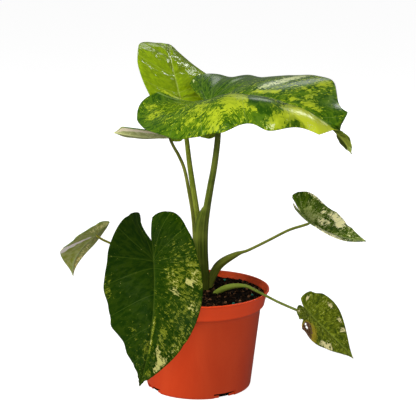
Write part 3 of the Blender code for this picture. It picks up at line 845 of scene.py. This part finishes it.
grow(
    "largest", "top", largest_leaf, per_gap=26, columns=68,
    skin=dict(dark=(0.018, 0.064, 0.001), mid=(0.07, 0.148, 0.003), pale=(0.36, 0.44, 0.014),
              ripe=(0.54, 0.62, 0.025), cream=(0.56, 0.62, 0.28), vein=(0.17, 0.26, 0.05), fleck=0.24, streak=1.15,
              rough=0.16, scale=1.3, gloss=0.3, quilt=0.12),
    underside=dict(ground=(0.055, 0.08, 0.003), mid=(0.08, 0.11, 0.006), pale=(0.4, 0.48, 0.12),
                   streak=(0.24, 0.28, 0.03)),
    stalk=dict(ground=(0.105, 0.145, 0.01), light=(0.23, 0.27, 0.035), shade=(0.034, 0.052, 0.005)),
    # The last patch of each half, in lime and in cream, paints the curled tip pale: painted light shining through it.
    lime=(
        ((0.29, 0.17, 0.04, 0.05, 0.9), (0.36, 0.23, 0.03, 0.05, 0.9), (0.49, 0.2, 0.02, 0.07, 0.6),
         (0.51, 0.45, 0.02, 0.06, 0.5), (0.47, 0.57, 0.02, 0.03, 0.5), (0.43, 0.86, 0.03, 0.11, 0.6),
         (0.43, 0.54, 0.02, 0.03, 0.5), (0.57, 0.29, 0.03, 0.13, 0.6), (0.62, 0.3, 0.02, 0.13, 0.5),
         (0.55, 0.78, 0.04, 0.2, -0.3), (0.7, 0.6, 0.1, 0.45, -0.25), (-0.45, 0.5, 0.45, 0.7, -0.42),
         (0.97, 0.5, 0.03, 0.6, 0.9)),
        ((-0.53, 0.78, 0.06, 0.13, 0.4), (-0.7, 0.79, 0.05, 0.08, 0.45), (-0.88, 0.62, 0.1, 0.4, -0.4),
         (-0.985, 0.6, 0.03, 0.55, 0.9), (-0.4, 0.95, 0.25, 0.1, -0.25), (-0.07, 0.69, 0.1, 0.18, 0.2),
         (0, 0.54, 0.06, 0.14, 0.3), (0.1, 0.84, 0.055, 0.17, 0.55), (0.24, 0.52, 0.065, 0.28, 0.72),
         (0.16, 0.62, 0.05, 0.18, 0.2), (0.365, 0.5, 0.05, 0.36, -0.7), (0.34, 0.73, 0.022, 0.07, 0.95),
         (0.43, 0.9, 0.035, 0.12, 0.5), (0.47, 0.85, 0.035, 0.14, 0.5), (0.53, 0.6, 0.05, 0.26, 0.9),
         (0.6, 0.6, 0.06, 0.6, 1.1), (0.68, 0.6, 0.07, 0.6, 1.2), (0.52, 0.92, 0.035, 0.07, -0.35),
         (0.9, 0.5, 0.05, 0.6, 0.9))),
    # The cream patches of the left half at rows 0.21 and 0.25 paint the whitish gloss along the crest: a painted
    # reflection.
    cream=(
        ((-0.87, 0.88, 0.03, 0.06, 0.7), (0.25, 0.55, 0.045, 0.42, 0.52), (0.21, 0.8, 0.05, 0.2, 0.4),
         (0.97, 0.5, 0.035, 0.9, 0.9)),
        ((0.42, 0.95, 0.03, 0.05, 0.45), (0.6, 0.9, 0.04, 0.1, 0.45), (0.97, 0.5, 0.035, 0.9, 0.9))),
    path=(
        (7.6, 19, 105, 4.2), (6.9, 18, 126.5, 4.5), (5.7, 16, 151.6, 4.6), (6.2, 14, 177.7, 4.5), (9.2, 12, 201.2, 4),
        (13.1, 9, 225.3, 3.7), (17.7, 6, 252, 3.4), (21.3, 3, 284.3, 3.2), (20.3, 1, 305, 2.9)),
    ribs=8, rib_depth=0.045, wings=((178, 98, 203, 7.6, 7),))


# Lime leaf
# A younger leaf that stands up behind the largest one and leans back. It has almost no green yet.
lime_leaf = Leaf(
    hub=(-21.5, 70, 317.7), length=110, pitch=(85, 48, -12), head=(100, 101, 101), roll=(-2, 4, 14),
    sweep=(16, 4, -17), widths=((0.86, 0.98, 1.9), (1.28, 1.09, 0.94)), lobes=(1.11, 1.28),
    fold=((1, 12, -8), (-2, -15, -23)), curl=((2, -5, -4), (-6, -2, -10)), swell=1.6,
    waves=(
        ((-1, 0.07, 0), (-0.25, -0.05, 0), (0.5, 0.04, 0), (0.75, -0.04, 0)),
        ((-1, 0.11, 0),)),
    nicks=(
        ((0.05, 0.22, -1.4), (0.66, 0.1, 1), (0.42, 0.16, 1.2)),
        ((0.62, 0.12, 1.4), (0.2, 0.16, -2.3))))
grow(
    "lime", "back", lime_leaf, per_gap=18, columns=46,
    # The colours of both faces are the young leaf's own lime, brightened with painted light for the light that shines
    # through the blade.
    skin=dict(dark=(0.175, 0.28, 0.002), mid=(0.24, 0.36, 0.003), pale=(0.32, 0.43, 0.006), cream=(0.6, 0.7, 0.2),
              vein=(0.4, 0.52, 0.08), fleck=0.1, rough=0.12, gloss=0.5, quilt=0.6),
    underside=dict(ground=(0.18, 0.26, 0.02), mid=(0.22, 0.31, 0.03), pale=(0.3, 0.4, 0.05),
                   streak=(0.3, 0.38, 0.08)),
    stalk=dict(ground=(0.19, 0.24, 0.015), light=(0.33, 0.37, 0.05), shade=(0.08, 0.11, 0.008)),
    path=(
        (3, 31, 105, 3.5), (3.6, 33, 133.2, 3.7), (1.6, 37, 160.6, 3.7), (-3, 43, 191.6, 3.6), (-6.9, 50, 217.3, 3.3),
        (-10.8, 58, 242.8, 3), (-14.4, 68, 271.6, 2.7), (-18, 77, 298.1, 2.5)),
    leeway=0.3)


# Small upper left leaf
# A small leaf seen from its edge, with its lower face turned to the front and a thin petiole.
upper_left_leaf = Leaf(
    hub=(-31.7, 18, 280), length=64.4, pitch=(-11, 1, 10), head=(169, 171, 165), roll=(19, 20, 39), sweep=(0, 1, -3),
    widths=((1, 1, 1.56), (1, 1, 1.3)), lobes=(0.9, 0.9), fold=((14, 8, 29), (10, 9, 2)),
    waves=(
        ((0.5, -0.07, 0), (0.75, 0.22, 0)),
        ((0.5, -0.3, 0), (-0.08, 0.4, 0), (-0.6, -0.2, 0), (0.75, 0.04, 0))))
grow(
    "upper_left", "top_left", upper_left_leaf, per_gap=10, columns=28,
    skin=dict(dark=(0.03, 0.1, 0.01), mid=(0.06, 0.17, 0.02), pale=(0.35, 0.45, 0.05), cream=(0.7, 0.7, 0.35),
              vein=(0.3, 0.4, 0.12), fleck=0.2, scale=0.5),
    underside=dict(ground=(0.38, 0.42, 0.13), mid=(0.52, 0.55, 0.22), pale=(0.92, 0.8, 0.56),
                   streak=(0.66, 0.68, 0.3), fleck=0.2, scale=0.5),
    stalk=dict(ground=(0.2, 0.22, 0.02), light=(0.33, 0.34, 0.06), shade=(0.06, 0.08, 0.01)),
    lime=(
        ((0.31, 0.92, 0.2, 0.17, -0.8), (0.1, 0.4, 0.5, 0.3, 0.25)),
        ()),
    cream=(
        ((0.25, 0.72, 0.7, 0.16, 0.7), (0.75, 0.5, 0.2, 0.5, 0.4)),
        ()),
    path=(
        (-5, 34, 105, 2.2), (-4.4, 34, 133, 2.2), (-5.2, 32.5, 161.6, 2), (-7, 31, 188.9, 1.9), (-10.8, 28, 215, 2),
        (-15.9, 25, 242.1, 1.9), (-22.1, 22, 258.6, 1.8), (-27.6, 20, 269, 1.7)),
    leeway=0.6)


# Front leaf
# A large dark leaf that hangs in front of the pot from a petiole that arches over the rim into its sinus.
front_leaf = Leaf(
    hub=(-46.1, -108, 170.2), length=132.2, pitch=(-32, -67, -75), head=(-84, -92, -89), roll=(-5, -1, -3),
    sweep=(9, -1, -18), widths=((0.87, 0.965, 1.14), (0.985, 1, 0.91)), lobes=(1.13, 0.93),
    fold=((14, 8, 5), (60, 8, 6)), curl=((-15, -12, 0), (-15, -12, 0)),
    tip=((0.925, 0.05), (0.95, 0.021), (0.975, 0.01), (1, 0)), sinus=(-0.4, 1), closed=0.42, swell=0.7,
    waves=(
        ((-1, -0.28, 0), (-0.75, 0.1, 0), (0, 0.02, 0)),
        ((-1, 0.28, 0), (-0.75, -0.13, 0), (0.75, -0.06, 0))),
    nicks=(
        ((-0.76, 0.02, 1.3), (0.44, 0.02, 0.7), (-0.44, 0.08, 1.4), (-0.83, 0.05, -0.9), (-0.25, 0.1, 0.7)),
        ((0.37, 0.055, -3.6), (0.5, 0.05, 2), (0.6, 0.03, -0.8), (0.69, 0.025, 0.9), (0.79, 0.06, 1.6),
         (0.16, 0.07, 1.8), (0.02, 0.06, -0.6), (-0.19, 0.06, 1), (-0.6, 0.025, 1.3), (-1, 0.05, -4),
         (-0.1, 0.1, 0.8))))
grow(
    "front", "front", front_leaf, per_gap=22, columns=58,
    skin=dict(dark=(0.008, 0.029, 0.0004), mid=(0.02, 0.046, 0.001), pale=(0.18, 0.21, 0.014),
              ripe=(0.24, 0.26, 0.03), cream=(0.46, 0.44, 0.13), vein=(0.062, 0.105, 0.008), streak=1.15, rough=0.14,
              gloss=0.2, ribs=0.5, midrib=(0.003, 0.009, 0.5)),
    underside=dict(ground=(0.05, 0.085, 0.012), mid=(0.07, 0.11, 0.018), pale=(0.36, 0.36, 0.12),
                   streak=(0.14, 0.19, 0.04)),
    stalk=dict(ground=(0.16, 0.18, 0.012), light=(0.28, 0.3, 0.04), shade=(0.08, 0.1, 0.01)),
    lime=(
        ((-0.09, 0.86, 0.12, 0.14, 0.42), (0.06, 0.42, 0.12, 0.24, 0.4), (0.05, 0.7, 0.4, 0.4, 0.18),
         (0.19, 0.8, 0.08, 0.18, 0.3), (0.44, 0.86, 0.1, 0.12, 0.35), (0.5, 0.4, 0.06, 0.12, 0.42),
         (0.5, 0.05, 0.08, 0.05, 0.55), (0.62, 0.05, 0.05, 0.06, 0.55), (0.6, 0.55, 0.14, 0.5, 0.22),
         (0.83, 0.55, 0.06, 0.4, 0.42), (-0.3, 0.59, 0.16, 0.25, 0.1), (0.33, 0.4, 0.1, 0.4, 0.15),
         (-0.7, 0.6, 0.2, 0.4, -0.15), (-1, 0.12, 0.03, 0.16, 0.5)),
        ((-0.4, 0.55, 0.75, 0.75, -0.3), (0.35, 0.45, 0.12, 0.6, -0.15), (0.02, 0.93, 0.1, 0.08, 0.62),
         (0.44, 0.62, 0.06, 0.1, 0.42), (0.65, 0.19, 0.08, 0.15, 0.45), (0.12, 0.8, 0.05, 0.14, 0.3),
         (-1, 0.12, 0.03, 0.16, 0.5))),
    cream=(
        ((0.04, 0.72, 0.035, 0.09, 0.75), (-0.06, 0.86, 0.1, 0.12, 0.36), (0.66, 0.76, 0.05, 0.22, 0.7),
         (0.62, 0.43, 0.035, 0.14, 0.6), (0.73, 0.8, 0.03, 0.14, 0.5), (0.2, 0.84, 0.05, 0.12, 0.36),
         (0.08, 0.38, 0.1, 0.16, 0.3), (0.18, 0.45, 0.03, 0.12, 0.42), (0.6, 0.04, 0.03, 0.04, 0.45),
         (0.5, 0.04, 0.07, 0.04, 0.34), (0.5, 0.85, 0.12, 0.1, 0.34)),
        ()),
    path=(
        (-3, 10, 105, 3), (-3.1, 9, 116, 3), (-5.4, 3, 141, 2.8), (-11.5, -10, 169.5, 2.5), (-22, -34, 190.5, 2.2),
        (-36, -61, 194.5, 2), (-43.5, -82, 189, 1.9), (-46, -97, 178.5, 1.8)))


# Left leaf
# A small leaf at the end of a thin petiole, turned so that its lower face is to the front.
left_leaf = Leaf(
    hub=(-112.1, -25, 179.1), length=66.2, pitch=(-33, -33, -73), head=(191, 185, 188), roll=(43, 31, 61),
    sweep=(-17, -30, -26), widths=((0.99, 1.34, 0.41), (0.91, 0.99, 0.7)), lobes=(0.91, 0.56),
    fold=((-2, 0, 20), (40, 10, 13)),
    waves=(
        ((-0.25, 0.05, 0), (0, -0.07, 0), (0.25, 0.06, 0), (0.75, -0.05, 0)),
        ((0.25, 0.07, 0), (0.75, -0.05, 0))),
    nicks=(
        ((-0.61, 0.04, -0.9), (-0.5, 0.04, 1.3), (-0.34, 0.05, 1), (-0.21, 0.05, -0.8), (-0.09, 0.05, 1.2),
         (0.1, 0.06, -1), (-0.8, 0.08, 4), (-0.94, 0.08, 3)),
        ()))
grow(
    "left", "left", left_leaf, per_gap=12, columns=32,
    skin=dict(dark=(0.03, 0.09, 0.01), mid=(0.06, 0.14, 0.02), pale=(0.35, 0.42, 0.05), cream=(0.7, 0.65, 0.35),
              vein=(0.3, 0.4, 0.12), fleck=0.2, scale=0.5),
    underside=dict(ground=(0.28, 0.35, 0.03), mid=(0.46, 0.52, 0.17), pale=(1, 0.97, 0.9), streak=(1, 0.95, 0.38),
                   fleck=0.06, scale=0.9, vein=(0.38, 0.44, 0.19)),
    stalk=dict(ground=(0.44, 0.42, 0.04), light=(0.66, 0.62, 0.12), shade=(0.24, 0.24, 0.02)),
    lime=(
        ((-0.82, 0.74, 0.16, 0.26, 0.42), (-0.6, 0.66, 0.14, 0.26, 0.4), (-0.4, 0.62, 0.08, 0.25, 0.42),
         (0.62, 0.5, 0.2, 0.6, -0.4)),
        ((0.36, 0.62, 0.1, 0.34, 0.38), (0.58, 0.72, 0.14, 0.34, 0.42), (0.78, 0.7, 0.1, 0.5, 0.35))),
    cream=(
        ((0.02, 0.25, 0.07, 0.12, 0.9), (0.08, 0.45, 0.09, 0.14, 0.9), (0.14, 0.66, 0.1, 0.14, 0.9),
         (0.2, 0.9, 0.1, 0.14, 1)),
        ()),
    path=(
        (-9, 22, 105, 2.2), (-9.4, 21.6, 115, 2.2), (-23.6, 15, 138.5, 2), (-54.7, 3, 150.2, 1.7),
        (-82, -9, 159, 1.4), (-97.3, -18, 167.8, 1.3), (-106, -22, 173, 1.3)))


# Right leaf
# A small leaf seen obliquely from above, on a petiole that starts in a thick sheath at the crown of the plant.
right_leaf = Leaf(
    hub=(121.3, -22, 192.3), length=67.9, pitch=(-29, -13, -5), head=(-6, -4, -6), roll=(25, 12, 14),
    sweep=(-38, -23, 2), widths=((1.25, 1.21, 1.24), (1.02, 0.99, 0.75)), lobes=(1.56, 0.89),
    fold=((31, 20, 23), (57, 32, -6)), curl=((0, 0, 0), (-15, -15, 0)), sinus=(0.6, 0),
    waves=(
        ((-0.75, -0.06, 0), (-0.5, 0.05, 0), (0.5, -0.06, 0)),
        ((0, -0.06, 0), (0.5, 0.06, 0), (0.75, -0.06, 0))),
    nicks=(
        ((-0.9, 0.05, 1.5), (-0.72, 0.05, 1), (-0.6, 0.05, -0.8), (0.05, 0.07, -1.2), (0.42, 0.05, 1.2),
         (0.55, 0.05, -1)),
        ((-0.95, 0.12, 2.4), (-0.3, 0.1, 1.2))))
grow(
    "right", "right", right_leaf, per_gap=12, columns=32,
    skin=dict(dark=(0.026, 0.062, 0.003), mid=(0.085, 0.145, 0.007), pale=(0.35, 0.41, 0.11), ripe=(0.43, 0.48, 0.19),
              cream=(1, 0.95, 0.48), vein=(0.25, 0.32, 0.09), fleck=0.26, streak=1.7, scale=0.7),
    underside=dict(ground=(0.13, 0.17, 0.03), mid=(0.17, 0.22, 0.05), pale=(0.62, 0.5, 0.3), streak=(0.3, 0.36, 0.13),
                   scale=0.5),
    stalk=dict(ground=(0.19, 0.22, 0.02), light=(0.33, 0.36, 0.06), shade=(0.07, 0.09, 0.01)),
    lime=(
        ((-0.12, 0.33, 0.2, 0.24, 0.55), (-0.49, 0.4, 0.16, 0.25, 0.5), (-0.36, 0.2, 0.2, 0.14, 0.35),
         (0.62, 0.69, 0.14, 0.5, 0.1), (-0.75, 0.8, 0.22, 0.35, -0.6), (-0.3, 0.75, 0.12, 0.16, -0.4),
         (0.05, 0.62, 0.1, 0.12, -0.4), (0.38, 0.45, 0.1, 0.3, -0.3)),
        ((0.12, 0.5, 0.3, 0.4, 0.3),)),
    cream=(
        ((0.22, 0.84, 0.23, 0.2, 0.95), (0.36, 0.62, 0.07, 0.14, 0.7), (-0.16, 0.71, 0.07, 0.1, 0.7),
         (0.12, 0.36, 0.13, 0.17, 0.75), (0.68, 0.4, 0.05, 0.2, 0.4), (-0.45, 0.97, 0.18, 0.04, 0.7),
         (-0.98, 0.35, 0.03, 0.25, 0.7), (-0.12, 0.33, 0.1, 0.12, 0.36)),
        ((0.3, 0.8, 0.22, 0.3, 0.85), (-0.6, 0.85, 0.25, 0.25, 0.6))),
    path=(
        (12.6, 29, 104, 3.7), (13.4, 28.5, 111.5, 4.4), (17, 26.6, 121.5, 4.9), (22.8, 23.8, 131.5, 4.9),
        (31.6, 20.2, 139.6, 4.3), (42.6, 15, 146.9, 3), (48.6, 12.5, 149.8, 1.9), (56.8, 9, 153.6, 1.6),
        (76.7, 0, 166, 1.5), (99.4, -11, 180.8, 1.5), (114, -18, 187.5, 1.5)))


# Low right leaf
# A small leaf on a petiole that lies over the soil and the rim. It hangs below the rim, torn and browned at one edge.
low_right_leaf = Leaf(
    hub=(121.6, -62, 99), length=67, pitch=(-50, -54, -51), head=(-47, -48, -47), roll=(-5, 3, 0), sweep=(11, 29, 18),
    widths=((1.01, 1.24, 0.71), (0.85, 1, 0.92)), lobes=(0.83, 0.61), fold=((22, 14, -3), (23, 9, 1)),
    curl=((-10, -10, 0), (-10, -10, 0)), closed=0.5,
    waves=(
        ((-1, -0.3, 0), (-0.75, 0.13, 0), (-0.5, -0.07, 0)),
        ((-1, -0.09, 0), (-0.5, 0.05, 0), (0.75, 0.06, 0))),
    nicks=(
        ((-0.72, 0.12, -0.9), (-0.36, 0.08, -1)),
        ((-0.29, 0.045, 7), (-0.42, 0.06, 1.5), (-0.58, 0.05, -1.2), (-0.17, 0.03, -2), (0.04, 0.12, -0.8),
         (0.33, 0.08, 0.7))))
grow(
    "low_right", "low_right", low_right_leaf, per_gap=12, columns=32,
    skin=dict(dark=(0.036, 0.066, 0.002), mid=(0.125, 0.16, 0.005), pale=(0.27, 0.33, 0.015), ripe=(0.34, 0.38, 0.02),
              cream=(0.85, 0.76, 0.36), vein=(0.2, 0.26, 0.03), fleck=0.24, streak=1.5, scale=0.7),
    underside=dict(ground=(0.13, 0.17, 0.03), mid=(0.17, 0.21, 0.05), pale=(0.5, 0.42, 0.2), streak=(0.3, 0.36, 0.13),
                   scale=0.5),
    stalk=dict(ground=(0.27, 0.33, 0.045), light=(0.48, 0.53, 0.13), shade=(0.12, 0.165, 0.018)),
    lime=(
        ((0, 0.45, 0.3, 0.3, 0.12), (0.68, 0.6, 0.12, 0.5, -0.2), (-0.35, 0.6, 0.08, 0.3, -0.3)),
        ((0.07, 0.45, 0.12, 0.3, 0.35),)),
    cream=(
        ((-0.71, 0.7, 0.07, 0.13, 0.62), (0, 0.8, 0.1, 0.08, 0.55), (0.3, 0.82, 0.05, 0.1, 0.6),
         (0.44, 0.82, 0.035, 0.2, 0.75)),
        ((0.36, 0.86, 0.13, 0.16, 0.8), (0.42, 0.62, 0.03, 0.12, 0.55), (-0.98, 0.55, 0.04, 0.35, 0.8),
         (-0.61, 0.88, 0.05, 0.1, 0.6))),
    brown=(
        ((0.99, 0.5, 0.03, 0.7, 1),),
        ((-0.1, 0.8, 0.13, 0.3, 1), (0.05, 0.72, 0.14, 0.42, 0.33), (0.99, 0.5, 0.03, 0.7, 1))),
    holes=(
        (),
        ((-0.17, 0.68, 0.02, 0.05, 1), (-0.1, 0.78, 0.02, 0.06, 1))),
    path=(
        (18.6, 4.6, 103.6, 2.7), (22.6, 0.6, 107.6, 3.3), (28.4, -6, 112.4, 3.4), (35.4, -13.4, 116.8, 3.2),
        (43.6, -21, 120, 2.6), (53.3, -29, 121.6, 1.8), (65, -37, 117.9, 1.5), (75.5, -43, 113.8, 1.4),
        (88.4, -50, 108.9, 1.4), (105.5, -58, 103.4, 1.4), (115, -60, 100.2, 1.4)))


# Photographer's floor, lamps and camera
# A white floor and surround that only the camera sees, four broad lamps that light the plant softly from all sides,
# two small windows that show only as gloss on the leaves, and the camera a little above the plant.
def make_floor():
    """A grey disc in metres, a hair under the foot, with a glow that makes it almost white."""
    radius, below_foot, glow = 14, 0.0004, 0.93
    f = Nodes("pale_floor")
    grain = f.cloud(f.place(), 60)
    colour = f.blend(grain, (0.3, 0.3, 0.3), (0.34, 0.34, 0.34))
    normal = f.bump(grain, 0.05, 0.0005)
    material = f.close(colour, 0.9, normal, 0.1, Emission_Color=(1, 1, 1), Emission_Strength=glow)
    bm = bmesh.new()
    bmesh.ops.create_circle(bm, cap_ends=True, segments=64, radius=radius)
    bmesh.ops.translate(bm, verts=bm.verts, vec=(0, 0, -below_foot))
    return to_object("pale_floor", bm, material, smooth=False)


floor = make_floor()
floor.visible_diffuse = False
floor.visible_glossy = False


def soft_lamp(name, place, target_height, size, power, mirrored=False):
    """A round lamp in metres and watts, aimed at a height over the pot. It lights, or else shows as gloss."""
    data = bpy.data.lights.new(name, "AREA")
    data.shape = "DISK"
    data.size = size
    data.energy = power
    lamp = bpy.data.objects.new(name, data)
    lamp.visible_glossy = mirrored
    lamp.visible_diffuse = not mirrored
    lamp.visible_camera = False
    lamp.location = place
    lamp.rotation_euler = (Vector((0, 0, target_height)) - Vector(place)).to_track_quat("-Z", "Y").to_euler()
    bpy.context.scene.collection.objects.link(lamp)


soft_lamp("key_lamp", (-2, -0.75, 1.45), 0.2, 1.2, 58)
soft_lamp("front_lamp", (0.2, -2.4, 0.95), 0.2, 1, 27)
soft_lamp("top_lamp", (-0.2, -0.75, 2.3), 0.2, 0.8, 16)
soft_lamp("back_lamp", (0.5, 2.3, 0.7), 0.2, 1.2, 22)
soft_lamp("right_window", (0.86, 1.14, 1.56), 0.3, 0.36, 3.2, mirrored=True)
soft_lamp("back_window", (0.16, 1.58, 1.33), 0.3, 0.42, 0.8, mirrored=True)


def white_surround():
    """Pure white to the camera. It lights the plant weakly from above, more from the pale floor below, and is
    mirrored as a dim room with a slightly lighter patch straight behind.
    """
    above, below, mirrored_below, behind = 0.1, 0.46, 0.12, 0.15
    f = Nodes("white_surround", bpy.data.worlds.new("white_surround"))
    ray = f.add("LightPath").outputs
    _, y, z = f.add("SeparateXYZ", Vector=f.add("TexCoord").outputs["Generated"]).outputs
    bounce = f.reckon("MULTIPLY_ADD", ray["Is Diffuse Ray"], below - mirrored_below, mirrored_below)
    light, white = f.tree.nodes["Background"], (1, 1, 1)
    f.put(light.inputs["Color"], white)
    f.put(light.inputs["Strength"], f.fade(y, 0.86, 0.98, f.fade(z, -0.3, 0.05, bounce, above), behind))
    choose = f.add("MixShader", Fac=ray["Is Camera Ray"])
    f.put(choose.inputs[1], light.outputs["Background"])
    f.put(choose.inputs[2], f.add("Background", Color=white, Strength=1).outputs["Background"])
    f.put(f.tree.nodes["World Output"].inputs["Surface"], choose.outputs["Shader"])
    return f.owner


bpy.context.scene.world = white_surround()

CAMERA_PLACE = (0.01044, -1.5, 0.5288)
CAMERA_TILT = 77.773
lens = bpy.data.cameras.new("studio_camera")
lens.sensor_width = 36
lens.lens = 119.35
camera = bpy.data.objects.new("studio_camera", lens)
camera.location = CAMERA_PLACE
camera.rotation_euler = (math.radians(CAMERA_TILT), 0, 0)
bpy.context.scene.collection.objects.link(camera)
bpy.context.scene.camera = camera
bpy.context.scene.view_settings.view_transform = "Standard"
